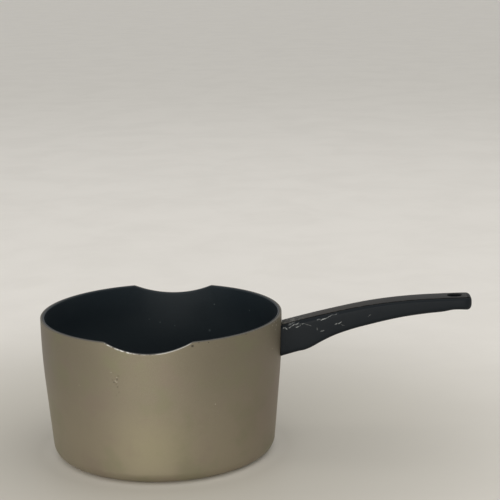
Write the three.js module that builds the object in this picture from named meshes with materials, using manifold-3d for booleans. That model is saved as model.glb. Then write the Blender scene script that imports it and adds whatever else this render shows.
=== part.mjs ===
// A small melting pot with one handle: a pressed and coated aluminium bowl with a pouring notch at the
// front and at the back, and a moulded handle screwed onto a stud that is welded to the wall.
// Millimetres. +Z is up and +X runs along the handle. The origin is the middle of the base, on the
// surface that the pot stands on. The pouring notches face +Y and -Y.

import * as THREE from "three";
import { mergeVertices } from "three/addons/utils/BufferGeometryUtils.js";
import Module from "manifold-3d";

// ---------- Driving dimensions ----------

// Bowl
const RIM_RADIUS = 90;
const BOWL_HEIGHT = 105.4;
const RIM_LAND = 5.2;          // the wall is upright for this much below the rim
const TAPER = Math.atan(0.087); // the lower wall leans outwards by this angle
const BELLY_RADIUS = 510;      // large arc that joins the upright land to the leaning wall
const CORNER_RADIUS = 9.3;     // between the wall and the base
const WALL = 2.5;
const RIM_EDGE = 0.3;          // small broken edge on each side of the rim
const COATING = 0.3;
const COATING_EDGE = 0.05;
const GAP = 0.3;               // clearance kept between neighbouring solids
const BOWL_SIDES = 64;

// Pouring notches
const NOTCH_HALF_WIDTH = 30.9;
const NOTCH_DEPTH = 7.2;

// Turned grooves in the underside of the base
const GROOVE_RADII = [22, 40, 58];
const GROOVE_WIDTH = 2.4;
const GROOVE_DEPTH = 0.5;

// Handle
const HANDLE_WIDTH = 19.5;
const HANDLE_EDGE = 2.6;       // rounding of the four long edges
const TAIL_X = 230.4;
const TAIL_TOP_Z = 117.9;
const TAIL_UNDERSIDE_Z = 108.1;
const TAIL_CORNER = 6;         // rounding of the tail, seen from above
const TAIL_NOSE = 3.2;         // rounding of the tail, seen from the side
const HANGING_X = 217.9;       // middle of the oval hanging hole
const HANGING_LENGTH = 10.6;
const HANGING_WIDTH = 9;

// Stud, screw and washers, all on one axis along +X
const SCREW_Z = 85;
const STUD_RADIUS = 6;
const STUD_END_X = 98.5;
const STUD_EDGE = 0.6;         // broken outer edge
const SHANK_RADIUS = 2.5;
const SHANK_TIP_X = 92.8;
const SHANK_POINT = 0.8;       // length of the screw's chamfered tip, and the room left beyond it
const SEAT_X = 106;            // bottom of the recess, where the washers sit
const RECESS_RADIUS = 5.7;
const RECESS_END_X = 150;      // past where the recess breaks out of the underside
const WASHER_RADIUS = 5;
const WASHER_THICKNESS = 1;
const SPRING_RADIUS = 4.6;
const SPRING_THICKNESS = 1.3;
const SPRING_SPLIT = 0.7;
const SPRING_SLANT = Math.PI / 5;
const HEAD_RADIUS = 4.75;
const HEAD_HEIGHT = 3.3;
const CROSS_LENGTH = 5;        // the screwdriver cross
const CROSS_WIDTH = 1;
const CROSS_DEPTH = 2;

// ---------- Geometry helpers ----------

const wasm = await Module();
wasm.setup();

function toSolid(geometry) {
  const bare = geometry.index ? geometry.toNonIndexed() : geometry.clone();
  bare.deleteAttribute("normal");
  bare.deleteAttribute("uv");
  const merged = mergeVertices(bare, 1e-4);
  return new wasm.Manifold(new wasm.Mesh({
    numProp: 3,
    vertProperties: new Float32Array(merged.attributes.position.array),
    triVerts: new Uint32Array(merged.index.array),
  }));
}

function toGeometry(solid) {
  const mesh = solid.getMesh();
  const geometry = new THREE.BufferGeometry();
  geometry.setAttribute("position", new THREE.BufferAttribute(new Float32Array(mesh.vertProperties), 3));
  geometry.setIndex(new THREE.BufferAttribute(new Uint32Array(mesh.triVerts), 1));
  const shaded = geometry.toNonIndexed();
  shaded.computeVertexNormals();
  return shaded;
}

function cut(geometry, ...tools) {
  let solid = toSolid(geometry);
  for (const tool of tools) {
    solid = solid.subtract(toSolid(tool));
  }
  return toGeometry(solid);
}

function keepInside(geometry, tool) {
  return toGeometry(toSolid(geometry).intersect(toSolid(tool)));
}

// Turns an outline of [radius, height] pairs about Z.
function turned(outline, sides) {
  const points = outline.map(([radius, height]) => new THREE.Vector2(radius, height));
  return new THREE.LatheGeometry(points, sides).rotateX(Math.PI / 2);
}

// The same outline, turned about the screw's axis, so that height runs along +X.
function turnedOnScrewAxis(outline, sides) {
  return turned(outline, sides).rotateY(Math.PI / 2).translate(0, 0, SCREW_Z);
}

function rod(radius, fromX, toX, sides) {
  return turnedOnScrewAxis([[0, fromX], [radius, fromX], [radius, toX], [0, toX]], sides);
}

function tube(inner, outer, fromX, toX, sides) {
  const outline = [[inner, fromX], [outer, fromX], [outer, toX], [inner, toX], [inner, fromX]];
  return turnedOnScrewAxis(outline, sides);
}

function arc(centreR, centreZ, radius, fromAngle, toAngle, steps) {
  const points = [];
  for (let i = 0; i <= steps; i += 1) {
    const angle = fromAngle + ((toAngle - fromAngle) * i) / steps;
    points.push([centreR + radius * Math.cos(angle), centreZ + radius * Math.sin(angle)]);
  }
  return points;
}

// ---------- The bowl's section ----------

// Where the corner's arc ends and the leaning wall starts, found by coming down from the rim.
const BELLY_Z = BOWL_HEIGHT - RIM_LAND;
const bellyEnd = {
  r: RIM_RADIUS - BELLY_RADIUS * (1 - Math.cos(TAPER)),
  z: BELLY_Z - BELLY_RADIUS * Math.sin(TAPER),
};
const CORNER_TOP_Z = CORNER_RADIUS * (1 - Math.sin(TAPER));
const CORNER_TOP_R = bellyEnd.r - (bellyEnd.z - CORNER_TOP_Z) * Math.tan(TAPER);
const BASE_RADIUS = CORNER_TOP_R - CORNER_RADIUS * Math.cos(TAPER);

// The outside of the bowl moved inwards by an offset: from the edge of the flat base, round the corner
// and up the wall to the given height. An offset below zero moves it outwards.
function wallLine(offset, topZ) {
  return [
    ...arc(BASE_RADIUS, CORNER_RADIUS, CORNER_RADIUS - offset, -Math.PI / 2, -TAPER, 5),
    ...arc(RIM_RADIUS - BELLY_RADIUS, BELLY_Z, BELLY_RADIUS - offset, -TAPER, 0, 4),
    [RIM_RADIUS - offset, topZ],
  ];
}

function shell(outerOffset, innerOffset, topZ, edge, underside) {
  const outer = wallLine(outerOffset, topZ - edge);
  const inner = wallLine(innerOffset, topZ - edge).reverse();
  return [
    [0, outerOffset],
    ...underside,
    ...outer,
    [RIM_RADIUS - outerOffset - edge, topZ],
    [RIM_RADIUS - innerOffset + edge, topZ],
    ...inner,
    [0, innerOffset],
  ];
}

// A round bar along Y whose lower side cuts both notches.
function notchCutter() {
  const radius = (NOTCH_HALF_WIDTH ** 2 + NOTCH_DEPTH ** 2) / (2 * NOTCH_DEPTH);
  const bar = new THREE.CylinderGeometry(radius, radius, 3 * RIM_RADIUS, 120);
  return bar.translate(0, 0, BOWL_HEIGHT - NOTCH_DEPTH + radius);
}

// ---------- Parts ----------

function bowlGeometry() {
  const grooves = GROOVE_RADII.flatMap((radius) => [
    [radius - GROOVE_WIDTH / 2, 0],
    [radius, GROOVE_DEPTH],
    [radius + GROOVE_WIDTH / 2, 0],
  ]);
  return cut(turned(shell(0, WALL, BOWL_HEIGHT, RIM_EDGE, grooves), BOWL_SIDES), notchCutter());
}

function liningGeometry() {
  const outside = WALL + GAP;
  const outline = shell(outside, outside + COATING, BOWL_HEIGHT - RIM_EDGE, COATING_EDGE, []);
  return cut(turned(outline, BOWL_SIDES), notchCutter());
}

// Everything within the bowl's outside plus the clearance, to cut what butts against the wall.
function bowlClearance() {
  const above = BOWL_HEIGHT + 10;
  return turned([[0, -GAP], ...wallLine(-GAP, above), [0, above]], BOWL_SIDES);
}

// The stud is a blind threaded boss with a broken outer edge.
function studGeometry() {
  const insideBowl = RIM_RADIUS - 5;
  const bore = SHANK_RADIUS + GAP;
  const boreEnd = SHANK_TIP_X - SHANK_POINT;
  const outline = [
    [0, insideBowl],
    [STUD_RADIUS, insideBowl],
    [STUD_RADIUS, STUD_END_X - STUD_EDGE],
    [STUD_RADIUS - STUD_EDGE, STUD_END_X],
    [bore, STUD_END_X],
    [bore, boreEnd],
    [0, boreEnd],
  ];
  return cut(turnedOnScrewAxis(outline, 36), bowlClearance());
}

// The handle seen from the side: a straight underside beneath the stud, a hollow sweep up to the grip,
// a round tail with a small rise in the underside just before it, and a long arched top. It starts
// inside the bowl, where the wall's clearance cuts it off.
function handleOutline() {
  const points = (pairs) => pairs.map(([x, z]) => new THREE.Vector2(x, z));
  const noseX = TAIL_X - TAIL_NOSE;
  const shape = new THREE.Shape();
  shape.moveTo(80, 70.5);
  shape.lineTo(103.6, 77.1);
  shape.lineTo(106.2, 77.4);
  shape.splineThru(points([
    [112, 79.9], [119, 83.9], [128, 88.5], [140, 92.9], [158, 97.9], [180, 102.9], [198, 105.7],
    [211, 107.2],
  ]));
  shape.splineThru(points([[216.5, 108.3], [222, 108.5], [noseX, TAIL_UNDERSIDE_Z]]));
  shape.absarc(noseX, TAIL_UNDERSIDE_Z + TAIL_NOSE, TAIL_NOSE, -Math.PI / 2, 0);
  shape.absarc(noseX, TAIL_TOP_Z - TAIL_NOSE, TAIL_NOSE, 0, Math.PI / 2);
  shape.splineThru(points([
    [207, 117.2], [186, 116], [160, 112.9], [125, 105.9], [100, 99.5], [80, 94.1],
  ]));
  return shape;
}

function handleGeometry() {
  const side = new THREE.ExtrudeGeometry(handleOutline(), {
    depth: HANDLE_WIDTH - 2 * HANDLE_EDGE,
    bevelEnabled: true,
    bevelThickness: HANDLE_EDGE,
    bevelSize: HANDLE_EDGE,
    bevelOffset: -HANDLE_EDGE,
    bevelSegments: 3,
    curveSegments: 3,
  });
  side.translate(0, 0, HANDLE_EDGE - HANDLE_WIDTH / 2).rotateX(Math.PI / 2);
  return cut(
    keepInside(side, tailPlan()),
    bowlClearance(),
    rod(STUD_RADIUS + GAP, RIM_RADIUS / 2, STUD_END_X + GAP, 36),
    rod(SHANK_RADIUS + GAP, STUD_END_X - 1, SEAT_X + 1, 24),
    rod(RECESS_RADIUS, SEAT_X, RECESS_END_X, 32),
    hangingHole(),
  );
}

// The handle seen from above, with the tail's two corners rounded, as a block that is taller than the
// handle and, except at the tail, a little wider.
function tailPlan() {
  const half = HANDLE_WIDTH / 2;
  const wide = half + 1;
  const cornerX = TAIL_X - TAIL_CORNER;
  const straightX = cornerX - 8;
  const shape = new THREE.Shape();
  shape.moveTo(0, -wide);
  shape.lineTo(straightX, -wide);
  shape.lineTo(straightX, -half);
  shape.absarc(cornerX, -half + TAIL_CORNER, TAIL_CORNER, -Math.PI / 2, 0);
  shape.absarc(cornerX, half - TAIL_CORNER, TAIL_CORNER, 0, Math.PI / 2);
  shape.lineTo(straightX, half);
  shape.lineTo(straightX, wide);
  shape.lineTo(0, wide);
  const depth = 1.5 * TAIL_TOP_Z;
  return new THREE.ExtrudeGeometry(shape, { depth, bevelEnabled: false, curveSegments: 8 });
}

function hangingHole() {
  const height = 3 * (TAIL_TOP_Z - TAIL_UNDERSIDE_Z);
  const hole = new THREE.CylinderGeometry(1, 1, height, 28).rotateX(Math.PI / 2);
  hole.scale(HANGING_LENGTH / 2, HANGING_WIDTH / 2, 1);
  return hole.translate(HANGING_X, 0, (TAIL_TOP_Z + TAIL_UNDERSIDE_Z) / 2);
}

// Where the flat washer, the spring washer and the screw's head start, one clearance apart.
const WASHER_X = SEAT_X + GAP;
const SPRING_X = WASHER_X + WASHER_THICKNESS + GAP;
const HEAD_X = SPRING_X + SPRING_THICKNESS + GAP;

function flatWasherGeometry() {
  return tube(SHANK_RADIUS + GAP, WASHER_RADIUS, WASHER_X, WASHER_X + WASHER_THICKNESS, 36);
}

// A ring with a slanted split at its top.
function springWasherGeometry() {
  const ring = tube(SHANK_RADIUS + GAP, SPRING_RADIUS, SPRING_X, SPRING_X + SPRING_THICKNESS, 36);
  const split = new THREE.BoxGeometry(3 * SPRING_THICKNESS, SPRING_SPLIT, SPRING_RADIUS);
  split.rotateZ(SPRING_SLANT);
  split.translate(SPRING_X + SPRING_THICKNESS / 2, 0, SCREW_Z + SHANK_RADIUS + SPRING_RADIUS / 2);
  return cut(ring, split);
}

// A pan-head screw with a cross recess.
function screwGeometry() {
  const top = HEAD_X + HEAD_HEIGHT;
  const outline = [
    [0, SHANK_TIP_X],
    [SHANK_RADIUS * 0.75, SHANK_TIP_X],
    [SHANK_RADIUS, SHANK_TIP_X + SHANK_POINT],
    [SHANK_RADIUS, HEAD_X],
    [HEAD_RADIUS, HEAD_X],
    [HEAD_RADIUS, HEAD_X + HEAD_HEIGHT * 0.45],
    [HEAD_RADIUS * 0.86, HEAD_X + HEAD_HEIGHT * 0.84],
    [HEAD_RADIUS * 0.5, top],
    [0, top],
  ];
  const slots = [[CROSS_WIDTH, CROSS_LENGTH], [CROSS_LENGTH, CROSS_WIDTH]].map(([wide, tall]) => (
    new THREE.BoxGeometry(2 * CROSS_DEPTH, wide, tall).translate(top, 0, SCREW_Z)
  ));
  return cut(turnedOnScrewAxis(outline, 32), ...slots);
}

// ---------- Assembly ----------

function mesh(name, geometry, color, roughness, metalness) {
  const material = new THREE.MeshStandardMaterial({ color, roughness, metalness });
  const piece = new THREE.Mesh(geometry, material);
  piece.name = name;
  return piece;
}

const group = new THREE.Group();
group.add(
  mesh("pan_body", bowlGeometry(), 0x827a66, 0.38, 0.6),
  mesh("nonstick_lining", liningGeometry(), 0x1b1f21, 0.55, 0),
  mesh("handle_stud", studGeometry(), 0xb9bab8, 0.4, 1),
  mesh("handle", handleGeometry(), 0x24272a, 0.45, 0),
  mesh("flat_washer", flatWasherGeometry(), 0xa9abab, 0.35, 1),
  mesh("spring_washer", springWasherGeometry(), 0x8f9293, 0.35, 1),
  mesh("handle_screw", screwGeometry(), 0xb4b6b7, 0.3, 1),
);

export default group;
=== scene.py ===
# A small melting pot with one handle, on a pale floor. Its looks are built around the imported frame:
# the bowl, its non-stick lining and the handle get fine meshes in place of the plain ones, and every
# piece gets a worn, procedural material. Metres, +Z up, +X along the handle, origin under the bowl.

import math

import bmesh
import bpy
import numpy as np
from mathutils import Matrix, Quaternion, Vector


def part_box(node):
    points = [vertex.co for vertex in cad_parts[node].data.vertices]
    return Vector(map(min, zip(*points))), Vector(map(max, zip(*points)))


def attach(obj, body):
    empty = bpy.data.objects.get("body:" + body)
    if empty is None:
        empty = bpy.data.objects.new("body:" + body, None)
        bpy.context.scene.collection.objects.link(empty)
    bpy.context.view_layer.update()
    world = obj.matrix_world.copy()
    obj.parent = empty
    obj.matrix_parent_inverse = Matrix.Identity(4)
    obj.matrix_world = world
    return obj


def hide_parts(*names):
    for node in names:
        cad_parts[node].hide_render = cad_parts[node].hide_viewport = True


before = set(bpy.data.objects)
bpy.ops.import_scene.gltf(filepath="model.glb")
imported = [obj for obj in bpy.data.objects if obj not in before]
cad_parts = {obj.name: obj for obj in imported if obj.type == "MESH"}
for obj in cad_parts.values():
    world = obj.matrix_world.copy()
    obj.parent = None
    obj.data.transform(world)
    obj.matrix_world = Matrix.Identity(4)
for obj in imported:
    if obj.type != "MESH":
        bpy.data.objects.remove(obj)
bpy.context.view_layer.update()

MM = 0.001

# ---------- Sizes, which match the frame's ----------

BOWL_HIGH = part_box("pan_body")[1]
RIM_RADIUS = BOWL_HIGH.x
HEIGHT = BOWL_HIGH.z
RIM_LAND = 5.2 * MM            # the wall is upright this far down from the rim
TAPER = math.atan(0.087)       # lean of the wall's straight part
BELLY_RADIUS = 510 * MM        # curve between the upright part and the straight one
CORNER_RADIUS = 9.3 * MM       # curve between the straight part and the base
BELLY_Z = HEIGHT - RIM_LAND
BELLY_END_R = RIM_RADIUS - BELLY_RADIUS * (1 - math.cos(TAPER))
BELLY_END_Z = BELLY_Z - BELLY_RADIUS * math.sin(TAPER)
CORNER_TOP_Z = CORNER_RADIUS * (1 - math.sin(TAPER))
CORNER_TOP_R = BELLY_END_R - (BELLY_END_Z - CORNER_TOP_Z) * math.tan(TAPER)
BASE_RADIUS = CORNER_TOP_R - CORNER_RADIUS * math.cos(TAPER)

NOTCH_HALF_WIDTH = 30.9 * MM
NOTCH_DEPTH = 7.2 * MM
NOTCH_RADIUS = (NOTCH_HALF_WIDTH**2 + NOTCH_DEPTH**2) / (2 * NOTCH_DEPTH)
NOTCH_CENTRE_Z = HEIGHT - NOTCH_DEPTH + NOTCH_RADIUS
NOTCH_CORNER = 0.35 * MM       # how far the notch's two corners are rounded off

METAL = 2.75 * MM              # thickness of the bowl's metal
SKIN = 0.2 * MM                # thickness of the lining
LINING_CLEAR = 0.01 * MM       # clearance between the metal and the lining
LINING_LIP = 0.04 * MM         # thickness of the lining's edge on the rim
LAP = 0.05 * MM                # how far the lining laps over the top of the rim
OUTER_EDGE = 0.5 * MM          # rounding of the rim, outside and inside
INNER_EDGE = 0.9 * MM
COLUMNS = 720                  # points round each ring of the bowl and of its lining
CROWDING = 1.35                # how closely a wall's rings crowd towards the rim
WALL_SHARE = 0.9               # the share of the metal's thickness that counts as its outer side

UNDERSIDE_RADII = [r * MM for r in (2, 8, 30, 49, 66, 70)]     # flat rings between the grooves
GROOVE_RADII = [r * MM for r in (22, 40, 58)]
GROOVE_HALF_WIDTH = 1.2 * MM
GROOVE_DEPTH = 0.5 * MM

HANDLE_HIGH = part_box("handle")[1]
TAIL_X = HANDLE_HIGH.x
HANDLE_HALF_WIDTH = HANDLE_HIGH.y
SCREW_LOW, SCREW_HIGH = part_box("handle_screw")
SCREW_Z = (SCREW_LOW.z + SCREW_HIGH.z) / 2
STUD_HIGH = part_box("handle_stud")[1]
WASHER_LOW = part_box("flat_washer")[0]
GAP = 0.3 * MM                 # clearance between the handle and what it meets


# ---------- Mesh helpers ----------

def new_object(name, mesh):
    obj = bpy.data.objects.new(name, mesh)
    bpy.context.scene.collection.objects.link(obj)
    return obj


def shade_smooth(mesh, angle):
    """Smooth shading, with sharp edges where faces meet at more than the angle, in degrees."""
    mesh.polygons.foreach_set("use_smooth", [True] * len(mesh.polygons))
    mesh.set_sharp_from_angle(angle=math.radians(angle))
    mesh.update()


def ring_mesh(name, rings, start, end):
    """A closed surface from rings of points, each an (n, 3) array, with a pole at each end."""
    count = len(rings[0])
    verts = np.concatenate(rings + [[start, end]])
    faces = []
    for a in range(len(rings) - 1):
        b = a + 1
        for i in range(count):
            j = (i + 1) % count
            faces.append((a * count + i, a * count + j, b * count + j, b * count + i))
    for tip, ring, turn in ((len(verts) - 2, 0, -1), (len(verts) - 1, len(rings) - 1, 1)):
        for i in range(count):
            j = (i + 1) % count
            faces.append((ring * count + i, ring * count + j, tip)[::turn])
    mesh = bpy.data.meshes.new(name)
    mesh.from_pydata(verts.tolist(), [], faces)
    mesh.validate()
    return mesh


def point_out(mesh):
    """Turns the faces of a closed mesh to point outwards."""
    bm = bmesh.new()
    bm.from_mesh(mesh)
    bmesh.ops.recalc_face_normals(bm, faces=bm.faces)
    if bm.calc_volume(signed=True) < 0:
        bmesh.ops.reverse_faces(bm, faces=bm.faces)
    bm.to_mesh(mesh)
    bm.free()


def apply_modifiers(obj):
    """Gives the object the mesh that its modifiers make, and removes the modifiers."""
    bpy.context.view_layer.update()
    graph = bpy.context.evaluated_depsgraph_get()
    mesh = bpy.data.meshes.new_from_object(obj.evaluated_get(graph))
    old = obj.data
    obj.modifiers.clear()
    obj.data = mesh
    mesh.name = obj.name
    bpy.data.meshes.remove(old)


def cut_away(obj, tools):
    """Cuts each tool from the object and removes the tools."""
    for tool in tools:
        boolean = obj.modifiers.new("cut", "BOOLEAN")
        boolean.operation = "DIFFERENCE"
        boolean.solver = "MANIFOLD"
        boolean.object = tool
        apply_modifiers(obj)
        bpy.data.objects.remove(tool)


def store(mesh, name, values):
    """Keeps one number for each point, which a material reads by its name."""
    attribute = mesh.attributes.new(name, "FLOAT", "POINT")
    attribute.data.foreach_set("value", np.asarray(values, np.float32))


def points_of(mesh):
    co = np.zeros(len(mesh.vertices) * 3, np.float32)
    mesh.vertices.foreach_get("co", co)
    return co.reshape(-1, 3).astype(float)


# ---------- The bowl ----------

def wall_radius(z, offset=0.0):
    """Radius of the wall at a height, for the outside moved inwards by an offset. Each part's formula
    runs over all heights, so the clips keep it real where another part is the one that is used."""
    z = np.asarray(z, float)
    upright = np.full_like(z, RIM_RADIUS - offset)
    drop = np.clip(BELLY_Z - z, 0, BELLY_RADIUS / 2)
    belly = RIM_RADIUS - BELLY_RADIUS + np.sqrt((BELLY_RADIUS - offset) ** 2 - drop**2)
    lean = BELLY_END_R - (BELLY_END_Z - z) * math.tan(TAPER) - offset / math.cos(TAPER)
    r = np.where(z > BELLY_Z, upright, np.where(z > BELLY_END_Z, belly, lean))
    corner = CORNER_RADIUS - offset
    below = np.sqrt(np.clip(corner**2 - np.clip(CORNER_RADIUS - z, 0, corner) ** 2, 0, None))
    return np.where(z < CORNER_TOP_Z, BASE_RADIUS + below, r)


def rim_height(x):
    """Height of the rim at x, cut down by the notches, with their corners just rounded. Far from the
    notches x is held back, since their circle doesn't reach that far."""
    x = np.minimum(np.abs(x), NOTCH_RADIUS * 0.9)
    notch = NOTCH_CENTRE_Z - np.sqrt(NOTCH_RADIUS**2 - x**2)
    mix = np.clip(0.5 + (notch - HEIGHT) / (2 * NOTCH_CORNER), 0, 1)
    return notch * (1 - mix) + HEIGHT * mix - NOTCH_CORNER * mix * (1 - mix)


def around(radius, z, angles):
    """A ring about the Z axis, whose radius and height may change with the angle."""
    radius = np.broadcast_to(radius, angles.shape)
    z = np.broadcast_to(z, angles.shape)
    return np.stack([radius * np.cos(angles), radius * np.sin(angles), z], axis=1)


def column_angles():
    """Evenly spaced columns, with the nearest ones moved onto the notches' corners."""
    angles = np.linspace(0, 2 * math.pi, COLUMNS, endpoint=False)
    corner = math.acos(NOTCH_HALF_WIDTH / RIM_RADIUS)
    for target in (corner, math.pi - corner, math.pi + corner, 2 * math.pi - corner):
        angles[np.argmin(np.abs(angles - target))] = target
    return angles


def corner_rings(offset, angles, steps):
    """Rings round the corner between the base and the wall, from the base up."""
    rings = []
    for a in np.linspace(-math.pi / 2, -TAPER, steps):
        r = BASE_RADIUS + (CORNER_RADIUS - offset) * math.cos(a)
        z = CORNER_RADIUS + (CORNER_RADIUS - offset) * math.sin(a)
        rings.append(around(r, z, angles))
    return rings


def wall_rings(offset, angles, below_rim, steps):
    """Rings up the wall, from the corner to the given distance below the rim, closing up near it."""
    rings = []
    radius_there = RIM_RADIUS - offset
    top = rim_height(radius_there * np.cos(angles)) - below_rim
    for t in np.linspace(0, 1, steps)[1:]:
        share = 1 - (1 - t) ** CROWDING
        z = CORNER_TOP_Z + (top - CORNER_TOP_Z) * share
        rings.append(around(wall_radius(z, offset), z, angles))
    return rings


def rim_ring(inset, drop, angles):
    """A ring that is an inset from the outer wall and a drop below the rim."""
    r = RIM_RADIUS - inset
    return around(r, rim_height(r * np.cos(angles)) - drop, angles)


def outer_edge_rings(angles, steps):
    """Over the rim's rounded outer edge, from the wall to the top."""
    turn = np.linspace(0, math.pi / 2, steps)[1:]
    return [rim_ring(OUTER_EDGE * (1 - math.cos(a)), OUTER_EDGE * (1 - math.sin(a)), angles) for a in turn]


def inner_edge_rings(skins, angles):
    """Over the rim's rounded inner edge, from the top to the wall, each ring standing proud of the
    metal by its skin."""
    rings = []
    for a, skin in zip(np.linspace(math.pi / 2, 0, len(skins)), skins):
        radius = INNER_EDGE + skin
        inset = METAL - INNER_EDGE + radius * math.cos(a)
        rings.append(rim_ring(inset, INNER_EDGE - radius * math.sin(a), angles))
    return rings


def underside_rings(angles):
    """The flat base from near its middle outwards, with its turned grooves."""
    rings = []
    radii = set(UNDERSIDE_RADII)
    for groove in GROOVE_RADII:
        radii |= {groove + GROOVE_HALF_WIDTH * k / 4 for k in range(-5, 6)}
    for r in sorted(radii):
        nearest = min(abs(r - groove) for groove in GROOVE_RADII)
        depth = GROOVE_DEPTH * max(0.0, math.cos(min(1, nearest / GROOVE_HALF_WIDTH) * math.pi / 2))
        rings.append(around(r, depth, angles))
    return rings


def make_bowl():
    """The bowl's metal, from the middle of its underside up over the rim and down to its floor."""
    angles = column_angles()
    rings = underside_rings(angles)
    rings += corner_rings(0, angles, steps=12)
    rings += wall_rings(0, angles, OUTER_EDGE, steps=30)
    rings += outer_edge_rings(angles, steps=7)
    rings += inner_edge_rings(np.zeros(7), angles)
    rings += wall_rings(METAL, angles, INNER_EDGE, steps=14)[-2::-1]
    rings += corner_rings(METAL, angles, steps=7)[::-1]
    mesh = ring_mesh("bowl", rings, start=(0, 0, 0), end=(0, 0, METAL))
    point_out(mesh)
    shade_smooth(mesh, 50)
    co = points_of(mesh)
    store(mesh, "below_rim", rim_height(co[:, 0]) - co[:, 2])
    radius = np.hypot(co[:, 0], co[:, 1])
    store(mesh, "inwards", wall_radius(co[:, 2]) - radius)
    bowl = new_object("bowl", mesh)
    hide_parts("pan_body")
    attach(bowl, "root")
    return bowl


def make_lining():
    """The non-stick lining: up behind it, over the rim's inner edge, and down its visible side."""
    angles = column_angles()
    outside = METAL + LINING_CLEAR
    inside = METAL + SKIN
    rings = [around(r * MM, outside, angles) for r in (2, 40)]
    rings += corner_rings(outside, angles, steps=8)
    rings += wall_rings(outside, angles, INNER_EDGE, steps=24)
    rings += inner_edge_rings(np.full(7, LINING_CLEAR), angles)[-2::-1]
    lap = METAL - INNER_EDGE - LAP
    rings += [rim_ring(lap, -LINING_CLEAR, angles), rim_ring(lap, -LINING_CLEAR - LINING_LIP, angles)]
    rings += inner_edge_rings(np.linspace(SKIN * 0.6, SKIN, 8), angles)
    rings += wall_rings(inside, angles, INNER_EDGE, steps=40)[-2::-1]
    rings += corner_rings(inside, angles, steps=14)[::-1]
    rings += [around(r * MM, inside, angles) for r in (60, 40, 20, 2)]
    mesh = ring_mesh("lining", rings, start=(0, 0, outside), end=(0, 0, inside))
    point_out(mesh)
    shade_smooth(mesh, 60)
    co = points_of(mesh)
    store(mesh, "below_rim", rim_height(co[:, 0]) - co[:, 2])
    lining = new_object("lining", mesh)
    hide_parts("nonstick_lining")
    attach(lining, "root")
    return lining


# ---------- The handle ----------

# Heights of the underside and of the top along X, in millimetres, as smooth curves through these.
UNDERSIDE = [
    (88, 72.2), (96, 74.6), (103.6, 76.7), (106.2, 77.2), (112, 79.5), (119, 83.5), (128, 88.1),
    (140, 92.6), (158, 97.6), (180, 102.6), (198, 105.3), (211, 106.8), (216.5, 107.9), (222, 108.1),
    (231, 107.6),
]
TOP = [(88, 96.6), (100, 99.8), (125, 106.0), (160, 113.0), (186, 116), (207, 117.2), (231, 118.0)]
FRONT_X = 89.8 * MM            # where the section that lies against the wall is taken
BLEND_END_X = 97 * MM          # where the handle's rings have become flat
TAIL_CORNER = 6 * MM           # rounding of the tail, seen from above and from the side
TAIL_NOSE = 3.2 * MM
TAIL_REACH = 0.9995            # share of TAIL_CORNER that the rings reach, just short of the tip
LOW_EDGE = 3.4 * MM            # rounding of the section's lower edges
TOP_EDGE_BOLSTER = 2.7 * MM    # rounding of its upper edges near the bowl, and along the grip
TOP_EDGE_GRIP = 1.7 * MM
TOP_EDGE_CHANGE = (115 * MM, 175 * MM)      # where along X the one turns into the other
EDGE_LIMIT = 0.8               # no edge is rounder than this share of half the section
SIDE_SWELL = 0.03              # how much the sides swell, as a share of the half width
TOP_CROWN = 0.35 * MM          # how far the top falls away from its middle to its sides
STRIP_RISE = 0.45 * MM         # the top is a flat strip that stands a little proud of its shoulders
# The strip's edge: how far in from the shoulder, in millimetres, and how much of its rise is done.
STRIP_EDGE = [(0.06, 0.2), (0.12, 0.6), (0.24, 0.9), (0.42, 1.0)]
STRIP_DEPTH = 0.6 * MM         # a point further below the top than this isn't on the strip
STRIP_FALL = 20                # how fast the distance past the strip grows with depth below that
SOCKET_START_X = 80 * MM       # short of the handle, so that the socket is open towards the bowl
PASSAGE_RADIUS = 2.8 * MM
RECESS_RADIUS = 5.7 * MM
RECESS_END_X = 150 * MM        # where the underside has swept up past the recess, which opens there
HANGING_X = TAIL_X - 12.5 * MM
HANGING_HALF_LENGTH = 5.3 * MM
HANGING_HALF_WIDTH = 4.5 * MM
HANGING_EDGE = 0.9 * MM
HANGING_PAST = 3 * MM          # how far the hole's tool goes past the handle, and its flare there
HANGING_PAST_FLARE = 2.6 * MM
HANGING_TURN = 65              # degrees of rounding at the hole's edges
BAR_POINTS = 64
HOLE_POINTS = 72


def smooth_curve(points, x):
    """Height at x of a smooth curve through the points, in metres."""
    px, pz = np.array(points, float).T * MM
    slopes = np.gradient(pz, px)
    i = np.clip(np.searchsorted(px, x) - 1, 0, len(px) - 2)
    h = px[i + 1] - px[i]
    t = (x - px[i]) / h
    start = (1 + 2 * t) * (1 - t) ** 2 * pz[i] + t * (1 - t) ** 2 * h * slopes[i]
    return start + t**2 * (3 - 2 * t) * pz[i + 1] + t**2 * (t - 1) * h * slopes[i + 1]


def round_end(x, radius):
    """How far an outline with a rounded corner has come in at x, near the tail."""
    past = np.clip(x - (TAIL_X - radius), 0, radius)
    return radius - np.sqrt(radius**2 - past**2)


def top_edge(x):
    """Rounding of the section's upper edges at x."""
    start, end = TOP_EDGE_CHANGE
    share = np.clip((x - start) / (end - start), 0, 1)
    share = share * share * (3 - 2 * share)
    return TOP_EDGE_BOLSTER + (TOP_EDGE_GRIP - TOP_EDGE_BOLSTER) * share


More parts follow.
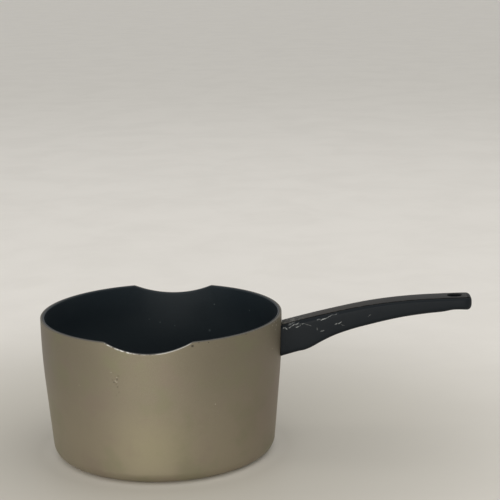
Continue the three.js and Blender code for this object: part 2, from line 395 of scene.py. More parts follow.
def section(x):
    """The handle's cross-section at x, as points in Y and Z. A flat strip along the top stands a
    little proud of the rounded shoulders beside it; the sides swell a little."""
    half = HANDLE_HALF_WIDTH - round_end(x, TAIL_CORNER)
    low = smooth_curve(UNDERSIDE, x) + round_end(x, TAIL_NOSE)
    high = smooth_curve(TOP, x) - round_end(x, TAIL_NOSE)
    limit = min(half, (high - low) / 2) * EDGE_LIMIT
    upper, lower = min(float(top_edge(x)), limit), min(LOW_EDGE, limit)
    shoulder = high - STRIP_RISE
    right = []
    for a in np.linspace(-0.5, 0, 9) * math.pi:
        right.append((half - lower + lower * math.cos(a), low + lower + lower * math.sin(a)))
    right += [(half, z) for z in np.linspace(low + lower, shoulder - upper, 14)[1:-1]]
    for a in np.linspace(0, 0.5, 12) * math.pi:
        right.append((half - upper + upper * math.cos(a), shoulder - upper + upper * math.sin(a)))
    for inwards, rise in STRIP_EDGE:
        right.append((half - upper - inwards * MM, shoulder + STRIP_RISE * rise))
    edge = right[-1][0]
    top = [(y, high) for y in np.linspace(edge, -edge, 16)[1:-1]]
    bottom = [(y, low) for y in np.linspace(lower - half, half - lower, 16)[1:-1]]
    left = [(-y, z) for y, z in right[::-1]]
    y, z = np.array(right + top + left + bottom).T
    height = np.clip((z - low) / (high - low), 0, 1)
    y = y * (1 - SIDE_SWELL * (2 * height - 1) ** 2)
    z = z - TOP_CROWN * (y / HANDLE_HALF_WIDTH) ** 2 * (height > 0.5)
    return y, z


def handle_ring(x, wall_share=0.0):
    """A ring of the handle at x. At wall_share 1 it lies against the bowl's wall."""
    y, z = section(x)
    at_wall = np.sqrt(wall_radius(z) ** 2 - y**2) + GAP
    place = x + (at_wall - x) * wall_share
    low, high = smooth_curve(UNDERSIDE, x), smooth_curve(TOP, x)
    height = (z - low) / (high - low)
    z = z + (1 - height) * (smooth_curve(UNDERSIDE, place) - low)
    z = z + height * (smooth_curve(TOP, place) - high)
    return np.stack([place, y, z], axis=1)


def bar_along_x(name, radius, from_x, to_x):
    """A round tool in line with the screw."""
    angles = np.linspace(0, 2 * math.pi, BAR_POINTS, endpoint=False)
    y = radius * np.cos(angles)
    z = SCREW_Z + radius * np.sin(angles)
    rings = [np.stack([np.full(BAR_POINTS, x), y, z], axis=1) for x in (from_x, to_x)]
    mesh = ring_mesh(name, rings, start=(from_x, 0, SCREW_Z), end=(to_x, 0, SCREW_Z))
    point_out(mesh)
    return new_object(name, mesh)


def hanging_hole():
    """A tool for the hanging hole, which flares at both ends so that the hole's edges are round."""
    top = float(smooth_curve(TOP, np.array(HANGING_X)))
    low = float(smooth_curve(UNDERSIDE, np.array(HANGING_X)))
    turns = [math.radians(a) for a in np.linspace(0, HANGING_TURN, 6)]
    edge = [(HANGING_EDGE * (1 - math.sin(a)), HANGING_EDGE * (1 - math.cos(a))) for a in turns]
    stations = [(low - HANGING_PAST, HANGING_PAST_FLARE)]
    stations += [(low + drop, flare) for drop, flare in edge[::-1]]
    stations += [(top - drop, flare) for drop, flare in edge]
    stations.append((top + HANGING_PAST, HANGING_PAST_FLARE))
    angles = np.linspace(0, 2 * math.pi, HOLE_POINTS, endpoint=False)
    rings = []
    for z, flare in stations:
        x = HANGING_X + (HANGING_HALF_LENGTH + flare) * np.cos(angles)
        y = (HANGING_HALF_WIDTH + flare) * np.sin(angles)
        rings.append(np.stack([x, y, np.full(HOLE_POINTS, z)], axis=1))
    ends = [(HANGING_X, 0, stations[0][0]), (HANGING_X, 0, stations[-1][0])]
    mesh = ring_mesh("hole", rings, start=ends[0], end=ends[1])
    point_out(mesh)
    return new_object("hole", mesh)


def handle_mesh():
    """The handle's skin, from a cap that follows the wall, along the grip, to a cap at the tail."""
    blending = zip(np.linspace(0, 1, 7), np.linspace(FRONT_X, BLEND_END_X, 7))
    rings = [handle_ring(x, 1 - t) for t, x in blending]
    tail_start = TAIL_X - TAIL_CORNER
    rings += [handle_ring(x) for x in np.linspace(BLEND_END_X, tail_start, 112)[1:]]
    turn = np.linspace(0, math.pi / 2, 14)[1:]
    rings += [handle_ring(tail_start + TAIL_CORNER * math.sin(a) * TAIL_REACH) for a in turn]
    front = rings[0]
    centre = front.mean(axis=0)
    caps = []
    for share in (0.03, 0.3, 0.6, 0.85):
        ring = centre + (front - centre) * share
        ring[:, 0] = np.sqrt(wall_radius(ring[:, 2]) ** 2 - ring[:, 1] ** 2) + GAP
        caps.append(ring)
    tail = rings[-1]
    tail_centre = tail.mean(axis=0)
    ends = [tail_centre + (tail - tail_centre) * share for share in (0.97, 0.8, 0.5, 0.2)]
    start = tuple(caps[0].mean(axis=0))
    return ring_mesh("handle_grip", caps + rings + ends, start=start, end=tuple(tail_centre))


def store_strip(mesh):
    """Stores how far each point is below the top, and how far past the edge of the flat strip."""
    co = points_of(mesh)
    x = co[:, 0]
    below_top = smooth_curve(TOP, x) - round_end(x, TAIL_NOSE) - co[:, 2]
    store(mesh, "below_top", below_top)
    past_side = np.abs(co[:, 1]) - (HANDLE_HALF_WIDTH - round_end(x, TAIL_CORNER) - top_edge(x))
    under_strip = (below_top - STRIP_DEPTH) * STRIP_FALL
    past_end = x - (TAIL_X - TAIL_NOSE)
    store(mesh, "past_strip", np.max([past_side, under_strip, past_end], axis=0))


def make_handle():
    """The handle, with its socket, screw passage, recess and hanging hole cut out."""
    mesh = handle_mesh()
    point_out(mesh)
    grip = new_object("handle_grip", mesh)
    cut_away(grip, [
        bar_along_x("socket", STUD_HIGH.z - SCREW_Z + GAP, SOCKET_START_X, STUD_HIGH.x + GAP),
        bar_along_x("passage", PASSAGE_RADIUS, STUD_HIGH.x - MM, WASHER_LOW.x + MM),
        bar_along_x("recess", RECESS_RADIUS, WASHER_LOW.x - GAP, RECESS_END_X),
        hanging_hole(),
    ])
    shade_smooth(grip.data, 38)
    store_strip(grip.data)
    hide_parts("handle")
    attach(grip, "root")
    return grip


# ---------- Material helpers ----------

def srgb(r, g, b):
    """A colour given as 0 to 255 screen values, as the linear colour that a shader takes."""
    def linear(v):
        v = v / 255
        return v / 12.92 if v <= 0.04045 else ((v + 0.055) / 1.055) ** 2.4
    return (linear(r), linear(g), linear(b), 1.0)


class Shader:
    """A material's node tree, with short calls for the nodes that these materials use."""

    def __init__(self, name):
        self.material = bpy.data.materials.new(name)
        self.material.use_nodes = True
        self.tree = self.material.node_tree
        self.bsdf = self.tree.nodes["Principled BSDF"]
        self.place = self.node("ShaderNodeTexCoord").outputs["Object"]

    def node(self, kind, **settings):
        """A new node of that kind, with its settings."""
        made = self.tree.nodes.new(kind)
        for key, value in settings.items():
            setattr(made, key, value)
        return made

    def feed(self, socket, value):
        """Links another node's output to the socket, or sets the socket to a plain value."""
        if isinstance(value, bpy.types.NodeSocket):
            self.tree.links.new(value, socket)
        elif value is not None:
            socket.default_value = value

    def set(self, **inputs):
        """Feeds the surface's inputs by name, with _ for a space."""
        for key, value in inputs.items():
            self.feed(self.bsdf.inputs[key.replace("_", " ")], value)

    def attribute(self, name):
        return self.node("ShaderNodeAttribute", attribute_name=name).outputs["Fac"]

    def parts(self):
        """X, Y and Z of the place."""
        split = self.node("ShaderNodeSeparateXYZ")
        self.feed(split.inputs[0], self.place)
        return split.outputs

    def sum(self, operation, a, b=None, c=None):
        """The result of a math node's operation on one, two or three values."""
        made = self.node("ShaderNodeMath", operation=operation)
        for socket, value in zip(made.inputs, (a, b, c)):
            self.feed(socket, value)
        return made.outputs[0]

    def noise(self, scale, detail, roughness=0.5, distortion=0.0, place=None, seed=0.0):
        made = self.node("ShaderNodeTexNoise", noise_dimensions="4D")
        self.feed(made.inputs["Vector"], self.place if place is None else place)
        made.inputs["W"].default_value = seed
        made.inputs["Scale"].default_value = scale
        made.inputs["Detail"].default_value = detail
        made.inputs["Roughness"].default_value = roughness
        made.inputs["Distortion"].default_value = distortion
        return made.outputs["Fac"]

    def stretch(self, x, y, z):
        """The place multiplied along X, Y and Z. More than 1 makes a noise finer that way, and less
        than 1 draws it out."""
        made = self.node("ShaderNodeMapping")
        self.feed(made.inputs["Vector"], self.place)
        made.inputs["Scale"].default_value = (x, y, z)
        return made.outputs[0]

    def step(self, value, low, high, to_low=0.0, to_high=1.0):
        """A soft step: to_low up to low, to_high from high on. The bounds may be the other way round."""
        if low > high:
            low, high, to_low, to_high = high, low, to_high, to_low
        made = self.node("ShaderNodeMapRange", interpolation_type="SMOOTHSTEP")
        self.feed(made.inputs["Value"], value)
        made.inputs["From Min"].default_value = low
        made.inputs["From Max"].default_value = high
        made.inputs["To Min"].default_value = to_low
        made.inputs["To Max"].default_value = to_high
        return made.outputs[0]

    def mix(self, share, a, b):
        """A share of colour b over colour a. The sockets go by number, since their names repeat."""
        made = self.node("ShaderNodeMix", data_type="RGBA")
        self.feed(made.inputs[0], share)
        self.feed(made.inputs[6], a)
        self.feed(made.inputs[7], b)
        return made.outputs[2]

    def blend(self, share, a, b):
        """The same for two numbers."""
        made = self.node("ShaderNodeMix", data_type="FLOAT")
        self.feed(made.inputs[0], share)
        self.feed(made.inputs[2], a)
        self.feed(made.inputs[3], b)
        return made.outputs[0]

    def bump(self, height, depth, below=None):
        """A bump whose height of 1 stands for that depth, in metres."""
        made = self.node("ShaderNodeBump")
        made.inputs["Strength"].default_value = 1.0
        made.inputs["Distance"].default_value = depth
        self.feed(made.inputs["Height"], height)
        if below is not None:
            self.feed(made.inputs["Normal"], below)
        return made.outputs[0]

    def spot(self, centre, radius, softness, ragged=0.0, seed=0.0):
        """1 inside a small spot, fading to 0 outside it, with a ragged outline if one is asked for."""
        away = self.node("ShaderNodeVectorMath", operation="DISTANCE")
        self.feed(away.inputs[0], self.place)
        away.inputs[1].default_value = centre
        distance = away.outputs["Value"]
        if ragged:
            wobble = self.noise(1.2 / radius, 3, 0.6, seed=seed)
            distance = self.sum("MULTIPLY_ADD", wobble, ragged * radius, distance)
            distance = self.sum("SUBTRACT", distance, ragged * radius / 2)
        return self.step(distance, radius * (1 + softness), radius * (1 - softness))

    def marks(self, table, softness, ragged, seeding):
        """The strongest of a table's spots at each place, each as its centre, radius and strength."""
        strongest = None
        for centre, radius, strength in table:
            spot = self.spot(centre, radius, softness, ragged, seed=radius * seeding)
            spot = self.sum("MULTIPLY", spot, strength)
            strongest = spot if strongest is None else self.sum("MAXIMUM", strongest, spot)
        return strongest

    def line(self, value, middle, half_width):
        """1 where the value is at the middle, fading to 0 at the half width on both sides of it."""
        return self.step(self.sum("ABSOLUTE", self.sum("SUBTRACT", value, middle)), half_width, 0.0)


# ---------- Materials ----------

# Where a look changes along Z or X, from having none of it to having all of it.
# The paint's two Z ranges are a painted highlight low on the bowl and painted shade high on it.
PAINT_LOW_HIGHLIGHT_Z = (75 * MM, 12 * MM)
PAINT_HIGH_SHADE_Z = (50 * MM, 100 * MM)
LINING_PALER_Z = (90 * MM, 60 * MM)
STRIP_LESS_BROWN_AND_SHEEN_X = (130 * MM, 180 * MM)
NEAR_BOWL_X = (115 * MM, 100 * MM)
MORE_SCATTER_X = (190 * MM, 100 * MM)
TURNING_PITCH = 0.9 * MM       # between the tool's rings on the turned base
# The same for the floor, by distance from the bowl's axis: painted shade round the bowl, a painted light
# ring at its foot, and a painted fall-off far out.
FLOOR_PAINTED_SHADE = (0.12, 0.45)
FLOOR_FOOT_PAINTED_LIGHT = (0.096, 0.077)
FLOOR_PAINTED_FALLOFF = (0.7, 3.0)

# Most places in the tables below, and the scuffs' X and depth, were worked out by a separate script,
# which followed the camera's sight lines from marks picked by eye in the photograph. Sizes, slopes and
# strengths were set one by one.

# Soft tints on the bowl's outside: place in metres, radius, strength and colour. The first is a painted
# yellowish highlight low on the front; the others are heat tints.
PAINT_TINTS_AND_HIGHLIGHT = [
    # a painted highlight, where the floor's reflection falls low on the front
    ((0.0, -0.083, 0.028), 20 * MM, 0.16, (157, 156, 112)),
    ((-0.086, -0.0235, 0.085), 24 * MM, 0.3, (120, 111, 118)),
    ((0.082, -0.028, 0.048), 30 * MM, 0.3, (118, 98, 94)),
]
# Dark chips and light flecks on the bowl's outside: place in metres, radius and strength.
PAINT_CHIPS = [
    ((0.0309, -0.0845, 0.1029), 0.9 * MM, 0.8),
    ((0.0353, -0.0828, 0.1047), 0.4 * MM, 0.8),
    ((0.0417, -0.0797, 0.1041), 0.45 * MM, 0.8),
    ((0.0666, -0.0604, 0.1046), 0.45 * MM, 0.8),
    ((-0.0253, -0.0859, 0.0789), 0.5 * MM, 0.3),
    ((-0.0243, -0.0861, 0.0772), 0.65 * MM, 0.5),
    ((-0.0220, -0.0868, 0.0795), 0.75 * MM, 0.45),
    ((-0.0228, -0.0865, 0.0760), 0.6 * MM, 0.25),
    ((-0.0218, -0.0866, 0.0740), 0.65 * MM, 0.4),
    ((-0.0210, -0.0872, 0.0820), 0.9 * MM, 0.2),
    ((-0.0209, -0.0866, 0.0702), 0.6 * MM, 0.2),
    ((-0.0230, -0.0859, 0.0677), 0.5 * MM, 0.2),
]
LIGHT_MARKS = [
    ((0.0842, -0.0311, 0.0856), 0.4 * MM, 0.6),
    ((-0.0233, -0.0864, 0.0782), 0.4 * MM, 0.6),
    ((-0.0222, -0.0867, 0.0776), 0.35 * MM, 0.6),
    ((-0.0220, -0.0869, 0.0810), 0.3 * MM, 0.6),
    ((-0.0261, -0.0859, 0.0843), 0.3 * MM, 0.6),
    ((0.0868, -0.0238, 0.1012), 0.7 * MM, 0.6),
    ((0.0871, -0.0226, 0.1038), 0.5 * MM, 0.6),
    ((0.0859, -0.0229, 0.1049), 0.45 * MM, 0.6),
    ((0.0855, -0.0282, 0.1045), 0.45 * MM, 0.6),
    ((0.0843, -0.0312, 0.1028), 0.5 * MM, 0.6),
    ((0.0861, -0.0262, 0.0985), 0.5 * MM, 0.6),
    ((0.0452, -0.0758, 0.058), 0.4 * MM, 0.6),
    ((-0.051, -0.0728, 0.071), 0.4 * MM, 0.6),
]
# Pale specks on the lining, in the same way.
LINING_SPECKS = [
    ((0.0291, 0.0809, 0.0683), 0.9 * MM, 0.5),
    ((0.0334, 0.0802, 0.0902), 0.5 * MM, 0.5),
    ((-0.0115, 0.0855, 0.0740), 0.5 * MM, 0.5),
    ((-0.0202, 0.0840, 0.0770), 0.4 * MM, 0.5),
    ((0.0003, 0.0861, 0.0709), 0.45 * MM, 0.5),
    ((0.0626, 0.0601, 0.0903), 0.5 * MM, 0.5),
    ((-0.0552, -0.0668, 0.0480), 0.6 * MM, 0.5),
    ((0.0250, -0.0310, 0.0030), 0.7 * MM, 0.5),
]
# Scuffs on the handle, in millimetres: X of the middle, depth below the top, half length, half width,
# and then the slope and the strength.
SCUFFS = [
    (92.1, 2.6, 1.2, 0.45, 0.0, 1.0),
    (93.6, 3.7, 1.1, 0.4, -0.7, 0.9),
    (96.8, 3.1, 1.5, 0.45, 0.3, 0.9),
    (98.9, 2.4, 1.2, 0.45, 0.5, 0.9),
    (102.5, 4.2, 1.9, 0.4, 0.1, 1.0),
    (101.8, 2.1, 1.6, 0.4, 0.1, 0.8),
    (97.7, 0.9, 2.8, 0.9, 0.2, 0.4),
    (105.6, 3.0, 2.4, 0.3, -0.1, 0.5),
    (110.0, 5.0, 2.8, 0.3, -0.55, 0.35),
    (117.7, 2.7, 1.5, 0.4, 0.0, 0.6),
    (121.4, 3.4, 2.8, 0.5, 0.15, 1.0),
    (125.9, 2.2, 2.2, 0.35, 0.3, 0.6),
    (130.0, 1.9, 2.4, 0.3, 0.0, 0.35),
    (130.8, 9.1, 1.6, 0.4, 0.1, 0.8),
    (133.4, 8.9, 1.6, 0.4, 0.3, 0.8),
    (135.2, 11.0, 1.8, 0.3, -0.6, 0.3),
    (120.3, 12.2, 1.8, 0.45, 0.15, 0.65),
    (116.6, 9.6, 0.5, 1.4, 0.0, 0.3),
    (155.2, 7.6, 1.4, 0.4, 0.6, 0.35),
]


def paint_color(s, z, cloud):
    """The paint's colour, with a painted highlight low down and painted shade high up, with flake, tints,
    a painted highlight low on the front, and fine scratches.
    """
    base = s.mix(s.step(cloud, 0.3, 0.7), srgb(122, 114, 97), srgb(127, 119, 102))
    # painted highlight low down, standing in for the floor's reflection, then painted shade high up
    base = s.mix(s.step(z, *PAINT_LOW_HIGHLIGHT_Z, 0, 0.8), base, srgb(144, 134, 114))
    base = s.mix(s.step(z, *PAINT_HIGH_SHADE_Z, 0, 0.6), base, srgb(106, 99, 83))
    flake = s.noise(5200, 1, 0.5, seed=3)
    base = s.mix(s.step(flake, 0.35, 0.75, 0, 0.25), base, srgb(170, 162, 142))

    # faint patches of a redder and of a greener tint, the soft heat tints, and a painted highlight low on
    # the front
    redder = s.step(s.noise(38, 3, 0.6, seed=51), 0.5, 0.68, 0, 0.2)
    greener = s.step(s.noise(30, 3, 0.6, seed=52), 0.48, 0.66, 0, 0.3)
    base = s.mix(redder, base, srgb(128, 109, 104))
    base = s.mix(greener, base, srgb(119, 121, 90))
    for place, radius, strength, color in PAINT_TINTS_AND_HIGHLIGHT:
        tint = s.sum("MULTIPLY", s.spot(place, radius, 0.95), strength)
        base = s.mix(tint, base, srgb(*color))

    scratch = s.line(s.noise(60, 2, 0.6, 2.2, place=s.stretch(1, 1, 6), seed=8), 0.5, 0.006)
    scratch = s.sum("MULTIPLY", scratch, s.step(s.noise(22, 2, seed=5), 0.52, 0.62))
    return s.mix(s.sum("MULTIPLY", scratch, 0.25), base, srgb(120, 112, 95))


def greyed_rim(s, base, below_rim, inwards):
    """The colour, greyed on top of the rim where the paint is thin, and darker further in."""
    ragged = s.noise(500, 3, 0.6, seed=2)
    top = s.step(s.sum("MULTIPLY_ADD", ragged, 0.3 * MM, below_rim), 0.75 * MM, 0.35 * MM)
    top = s.sum("MULTIPLY", top, s.sum("LESS_THAN", inwards, METAL * WALL_SHARE))
    base = s.mix(s.sum("MULTIPLY", top, 0.8), base, srgb(100, 96, 89))
    inner = s.sum("MULTIPLY", top, s.step(inwards, 0.9 * MM, 1.7 * MM, 0.0, 0.75))
    return s.mix(inner, base, srgb(52, 51, 48))


def worn_lip(s, x, y, below_rim, inwards):
    """Where bare metal shows on the front notch's lip: flecks, strongest on the left, and a fainter
    line on the right."""
    over_edge = s.step(inwards, 1.2 * MM, 0.8 * MM)
    lip = s.sum("MULTIPLY", over_edge, s.step(below_rim, 0.6 * MM, 0.35 * MM))
    in_notch = s.step(s.sum("ABSOLUTE", x), NOTCH_HALF_WIDTH, NOTCH_HALF_WIDTH * 0.93)
    lip = s.sum("MULTIPLY", s.sum("MULTIPLY", lip, in_notch), s.sum("LESS_THAN", y, 0.0))
    flecks = s.step(s.noise(420, 3, 0.65, seed=12, place=s.stretch(1, 1, 2)), 0.42, 0.55)
    left = s.step(x, -8 * MM, -12 * MM, 0.25, 1.0)
    right = s.step(x, 4 * MM, 8 * MM, 0.0, 0.5)
    return s.sum("MULTIPLY", lip, s.sum("MAXIMUM", s.sum("MULTIPLY", flecks, left), right))


def paint_material():
    """Satin metallic paint outside, with bare metal at the rim and on the turned base."""
    s = Shader("satin_champagne_paint")
    x, y, z = s.parts()[0:3]
    below_rim = s.attribute("below_rim")
    inwards = s.attribute("inwards")
    cloud = s.noise(14, 3, 0.5)
    base = greyed_rim(s, paint_color(s, z, cloud), below_rim, inwards)
    chips = s.marks(PAINT_CHIPS, 0.25, 1.1, 3000)
    base = s.mix(chips, base, srgb(62, 57, 50))
    base = s.mix(s.marks(LIGHT_MARKS, 0.4, 1.2, 5000), base, srgb(190, 184, 170))

    # bare metal: the notch's worn lip, the inside behind the lining, and the turned, stained base
    worn = worn_lip(s, x, y, below_rim, inwards)
    inside = s.sum("GREATER_THAN", inwards, METAL * WALL_SHARE)
    radius = s.sum("SQRT", s.sum("ADD", s.sum("MULTIPLY", x, x), s.sum("MULTIPLY", y, y)))
    base_edge = s.sum("MULTIPLY_ADD", s.noise(160, 3, seed=4), 0.6 * MM, BASE_RADIUS - 0.8 * MM)
    underside = s.sum("MULTIPLY", s.sum("LESS_THAN", radius, base_edge), s.sum("LESS_THAN", z, 2 * MM))
    bare = s.sum("MAXIMUM", s.sum("MAXIMUM", worn, inside), underside)
    metal = s.mix(s.noise(900, 2, seed=6), srgb(188, 185, 178), srgb(226, 223, 216))
    stain = s.step(s.noise(28, 4, 0.6, 1.0, seed=7), 0.45, 0.75)
    stain = s.sum("MULTIPLY", stain, underside)
    metal = s.mix(s.sum("MULTIPLY", stain, 0.35), metal, srgb(138, 126, 108))

    satin = s.sum("ADD", s.blend(cloud, 0.5, 0.56), s.step(z, *PAINT_HIGH_SHADE_Z, 0, 0.08))
    s.set(
        Base_Color=s.mix(bare, base, metal),
        Metallic=s.blend(bare, 0.72, 1.0),
        Roughness=s.blend(bare, satin, s.blend(stain, 0.34, 0.5)),
    )
    s.bsdf.inputs["Specular IOR Level"].default_value = 0.5
    texture = s.bump(s.noise(1500, 2, 0.5, seed=1), 0.006 * MM)
    peel = s.bump(s.noise(260, 2, 0.5, seed=9), 0.012 * MM, texture)
    rings = s.sum("SINE", s.sum("MULTIPLY", radius, 2 * math.pi / TURNING_PITCH))
    turned = s.bump(s.sum("MULTIPLY", rings, underside), 0.03 * MM, peel)
    unworn = s.sum("SUBTRACT", 1.0, s.sum("MAXIMUM", worn, chips))
    s.set(Normal=s.bump(unworn, 0.05 * MM, turned))
    return s.material


def coating_material():
    """Dull black non-stick coating, paler low down, with a fine speckle, faint wear, pale specks and a
    little wax haze."""
    s = Shader("black_nonstick")
    z = s.parts()[2]
    speckle = s.noise(2600, 2, 0.6, seed=1)
    haze = s.step(s.noise(11, 4, 0.55, 0.6, seed=2), 0.45, 0.75)
    base = s.mix(s.step(speckle, 0.4, 0.75), srgb(25, 32, 37), srgb(37, 46, 50))
    base = s.mix(s.sum("MULTIPLY", haze, 0.3), base, srgb(42, 50, 53))
    base = s.mix(s.step(z, *LINING_PALER_Z, 0, 0.38), base, srgb(62, 70, 74))
    scratch = s.line(s.noise(40, 2, 0.6, 3.0, place=s.stretch(1, 1, 3), seed=4), 0.5, 0.004)
    scratch = s.sum("MULTIPLY", scratch, s.step(s.noise(18, 2, seed=6), 0.55, 0.65))
    base = s.mix(s.sum("MULTIPLY", scratch, 0.3), base, srgb(74, 80, 82))
    specks = s.marks(LINING_SPECKS, 0.4, 1.2, 4000)
    dust = s.step(s.noise(170, 2, 0.5, seed=8), 0.79, 0.84, 0.0, 0.25)
    base = s.mix(s.sum("MAXIMUM", specks, dust), base, srgb(104, 112, 112))
    s.set(Base_Color=base, Roughness=s.blend(haze, 0.42, 0.55))
    s.bsdf.inputs["Specular IOR Level"].default_value = 0.27
    s.set(Normal=s.bump(scratch, 0.01 * MM, s.bump(speckle, 0.014 * MM)))
    return s.material


def handle_scuffs(s, x, y, below_top):
    """The listed scuffs, broken up by a ragged noise, on the near side, and a scatter of fine ones."""
    broken = s.step(s.noise(1000, 3, 0.65, seed=3), 0.36, 0.56)
    wander = s.sum("MULTIPLY_ADD", s.noise(420, 2, 0.6, seed=9), 1.6 * MM, -0.8 * MM)
    wandering = s.sum("ADD", below_top, wander)
    scuffs = None
    for middle, depth, length, width, slope, strength in SCUFFS:
        along = s.sum("SUBTRACT", x, middle * MM)
        across = s.sum("MULTIPLY_ADD", along, slope, s.sum("SUBTRACT", wandering, depth * MM))
        along = s.sum("DIVIDE", along, length * MM)
        across = s.sum("DIVIDE", across, width * MM)
        away = s.sum("ADD", s.sum("MULTIPLY", along, along), s.sum("MULTIPLY", across, across))
        marked = s.step(away, 1.2, 0.4, 0.0, strength)
        scuffs = marked if scuffs is None else s.sum("MAXIMUM", scuffs, marked)
    near_side = s.sum("LESS_THAN", y, 0.0)
    scuffs = s.sum("MULTIPLY", s.sum("MULTIPLY", scuffs, broken), near_side)
    fine = s.noise(260, 5, 0.7, 1.5, place=s.stretch(0.35, 1, 1.2), seed=13)
    level = s.step(x, *MORE_SCATTER_X, 0.8, 0.71)
    scatter = s.step(s.sum("SUBTRACT", fine, level), 0.0, 0.04, 0.0, 0.4)
    return s.sum("MAXIMUM", scuffs, scatter)


def strip_wear_and_painted_light(s, base, x, past_strip):
    """The colour with a slightly brown strip along the top, partly a painted sheen of the light from
    above, rubbed paler at its edges, grimy and speckled near the bowl, with a painted shadow line beside
    it."""
    strip = s.step(past_strip, 0.1 * MM, -0.2 * MM)
    strip = s.sum("MULTIPLY", strip, s.step(x, *STRIP_LESS_BROWN_AND_SHEEN_X, 0.7, 0.35))
    near_bowl = s.step(x, *NEAR_BOWL_X)
    grime = s.sum("MULTIPLY", s.step(s.noise(330, 4, 0.65, seed=15), 0.42, 0.58), near_bowl)
    strip = s.sum("MULTIPLY", strip, s.sum("MULTIPLY_ADD", grime, -0.75, 1.0))
    # brownish strip along the top: partly its own tone, partly a painted sheen of the light from above
    base = s.mix(strip, base, srgb(52, 46, 39))
    grains = s.sum("MULTIPLY", s.step(s.noise(650, 2, 0.6, seed=16), 0.54, 0.58), near_bowl)
    grains = s.sum("MULTIPLY", grains, s.step(past_strip, 1.6 * MM, 0.8 * MM, 0.0, 0.5))
    base = s.mix(grains, base, srgb(128, 127, 118))
    # a near-black painted shadow line beside the strip's edge, where the crease would be shaded
    from_shadow_line = s.sum("ABSOLUTE", s.sum("SUBTRACT", past_strip, 0.6 * MM))
    base = s.mix(s.step(from_shadow_line, 1.6 * MM, 0.7 * MM), base, srgb(2, 3, 3))
    from_edge = s.sum("ABSOLUTE", s.sum("ADD", past_strip, 0.8 * MM))
    edge_wear = s.step(from_edge, 0.7 * MM, 0.2 * MM)
    rubbed = s.sum("MULTIPLY", edge_wear, s.step(s.noise(320, 4, 0.65, seed=5), 0.45, 0.65))
    return s.mix(s.sum("MULTIPLY", rubbed, 0.3), base, srgb(92, 90, 86))


def phenolic_material():
    """Black phenolic moulding, polished by use on the grip, with a brownish tone and a painted sheen along
    its top, and scuffed to grey near the bowl.
    """
    s = Shader("black_phenolic")
    x, y = s.parts()[0:2]
    cloud = s.noise(45, 3, 0.5, seed=2)
    base = s.mix(cloud, srgb(18, 22, 26), srgb(26, 30, 33))
    scuffs = handle_scuffs(s, x, y, s.attribute("below_top"))
    base = s.mix(scuffs, base, srgb(140, 142, 140))
    base = strip_wear_and_painted_light(s, base, x, s.attribute("past_strip"))
    s.set(Base_Color=base, Roughness=s.blend(scuffs, s.blend(cloud, 0.42, 0.52), 0.7))
    s.bsdf.inputs["Specular IOR Level"].default_value = 0.1
    grain = s.bump(s.noise(1800, 3, 0.6, seed=1), 0.012 * MM)
    texture = s.bump(s.noise(210, 3, 0.5, seed=7), 0.02 * MM, grain)
    s.set(Normal=s.bump(scuffs, 0.04 * MM, texture))
    return s.material


def metal_material(name, dull, bright, roughness, stain):
    """Plated steel or bare aluminium with fine tool marks and a little tarnish."""
    s = Shader(name)
    marks = s.noise(2400, 3, 0.6, place=s.stretch(1, 0.15, 0.15), seed=1)
    tarnish = s.step(s.noise(350, 4, 0.6, seed=2), 0.5, 0.75)
    base = s.mix(marks, srgb(*dull), srgb(*bright))
    base = s.mix(s.sum("MULTIPLY", tarnish, 0.5), base, srgb(*stain))
    s.set(Base_Color=base, Roughness=s.blend(tarnish, roughness, roughness + 0.25))
    s.bsdf.inputs["Metallic"].default_value = 1.0
    s.set(Normal=s.bump(marks, 0.01 * MM))
    return s.material


def floor_material():
    """A pale floor, with painted shade round the object, a painted light ring right at the object's foot
    that softens the dark contact shadow there, and a painted fall-off, darker far out."""
    s = Shader("pale_floor")
    x, y = s.parts()[0:2]
    away = s.sum("SQRT", s.sum("ADD", s.sum("MULTIPLY", x, x), s.sum("MULTIPLY", y, y)))
    # painted shade round the object, paler further out
    near = s.mix(s.step(away, *FLOOR_PAINTED_SHADE), srgb(196, 191, 180), srgb(240, 235, 227))
    # painted light ring at the foot, softening the contact shadow
    near = s.mix(s.step(away, *FLOOR_FOOT_PAINTED_LIGHT), near, srgb(220, 215, 205))
    # painted fall-off, a little darker far out
    far = s.mix(s.step(away, *FLOOR_PAINTED_FALLOFF), near, srgb(228, 223, 214))
    mottle = s.noise(9, 5, 0.6, 0.5, seed=1)
    s.set(Base_Color=s.mix(s.step(mottle, 0.35, 0.7, 0, 0.12), far, srgb(196, 190, 180)), Roughness=0.6)
    s.bsdf.inputs["Specular IOR Level"].default_value = 0.3
    return s.material


# ---------- Stage ----------

FLOOR_HALF = 30
WORLD_COLOR = (0.985, 0.99, 0.99, 1)
WORLD_STRENGTH = 0.67


def make_stage():
    """A large floor and an even, nearly white surrounding."""
    mesh = bpy.data.meshes.new("floor")
    corners = [(x * FLOOR_HALF, y * FLOOR_HALF, 0) for x, y in ((-1, -1), (1, -1), (1, 1), (-1, 1))]
    mesh.from_pydata(corners, [], [(0, 1, 2, 3)])
    floor = new_object("floor", mesh)
    mesh.materials.append(floor_material())

    world = bpy.data.worlds.new("studio")
    world.use_nodes = True
    background = world.node_tree.nodes["Background"]
    background.inputs["Color"].default_value = WORLD_COLOR
    background.inputs["Strength"].default_value = WORLD_STRENGTH
    bpy.context.scene.world = world
    bpy.context.scene.view_settings.view_transform = "Standard"


def area_light(name, place, target, width, height, power, color):
    light = bpy.data.lights.new(name, "AREA")
    light.shape = "RECTANGLE"
    light.size, light.size_y = width, height
    light.energy = power
    light.color = color
    obj = new_object(name, light)
    obj.location = place
    obj.rotation_euler = (Vector(target) - Vector(place)).to_track_quat("-Z", "Y").to_euler()
    return obj


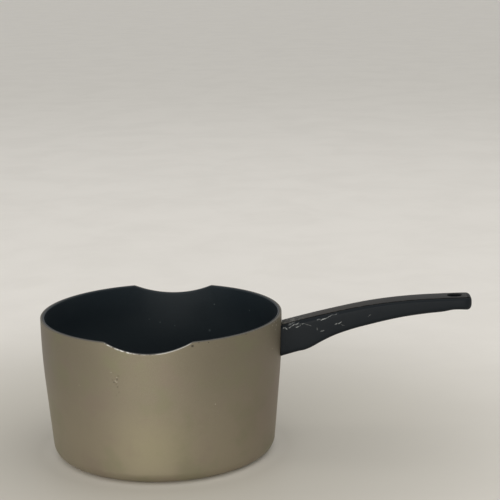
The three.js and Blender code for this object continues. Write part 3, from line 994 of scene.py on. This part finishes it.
def make_lights():
    """A wide light, low down in front, and a large soft one above."""
    area_light(
        "key", place=(-0.27, -1.5, 0.2), target=(0.0, 0.0, 0.04),
        width=1.2, height=0.5, power=15, color=(1.0, 0.98, 0.94),
    )
    area_light(
        "top", place=(0.5, 0.0, 1.9), target=(0.05, 0.0, 0.0),
        width=1.6, height=1.6, power=7.5, color=(1.0, 0.99, 0.97),
    )


CAMERA_LENS = 100.8
CAMERA_ROUND = math.radians(6.81)           # round from the front, towards the handle
CAMERA_AWAY = 1.0183                        # from the bowl's axis, measured level
CAMERA_HEIGHT = 0.3704
CAMERA_RIGHT = math.radians(3.778)          # how far right of the bowl's axis it looks
CAMERA_DOWN = math.radians(12.16)
CAMERA_ROLL = math.radians(-0.9)


def make_camera():
    """A long lens, looking down and past the bowl, so that the object is low and left in the view."""
    data = bpy.data.cameras.new("camera")
    data.lens = CAMERA_LENS
    data.sensor_width = 36
    data.clip_start, data.clip_end = 0.05, 100
    camera = new_object("camera", data)
    beside, back = CAMERA_AWAY * math.sin(CAMERA_ROUND), CAMERA_AWAY * math.cos(CAMERA_ROUND)
    camera.location = (beside, -back, CAMERA_HEIGHT)
    heading = CAMERA_ROUND - CAMERA_RIGHT
    ahead = math.cos(CAMERA_DOWN)
    forward = Vector((-math.sin(heading) * ahead, math.cos(heading) * ahead, -math.sin(CAMERA_DOWN)))
    level = forward.to_track_quat("-Z", "Y")
    camera.rotation_mode = "QUATERNION"
    camera.rotation_quaternion = level @ Quaternion((0, 0, 1), CAMERA_ROLL)
    bpy.context.scene.camera = camera


# ---------- Assembly ----------

def set_material(obj, material):
    obj.data.materials.clear()
    obj.data.materials.append(material)


set_material(make_bowl(), paint_material())
set_material(make_lining(), coating_material())
set_material(make_handle(), phenolic_material())

zinc = metal_material("zinc_plate", (150, 152, 155), (205, 207, 210), 0.28, (128, 118, 100))
aluminium = metal_material("welded_aluminium", (160, 160, 158), (200, 200, 198), 0.38, (120, 112, 102))
for node in ("handle_screw", "flat_washer", "spring_washer"):
    set_material(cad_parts[node], zinc)
set_material(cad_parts["handle_stud"], aluminium)

make_stage()
make_lights()
make_camera()
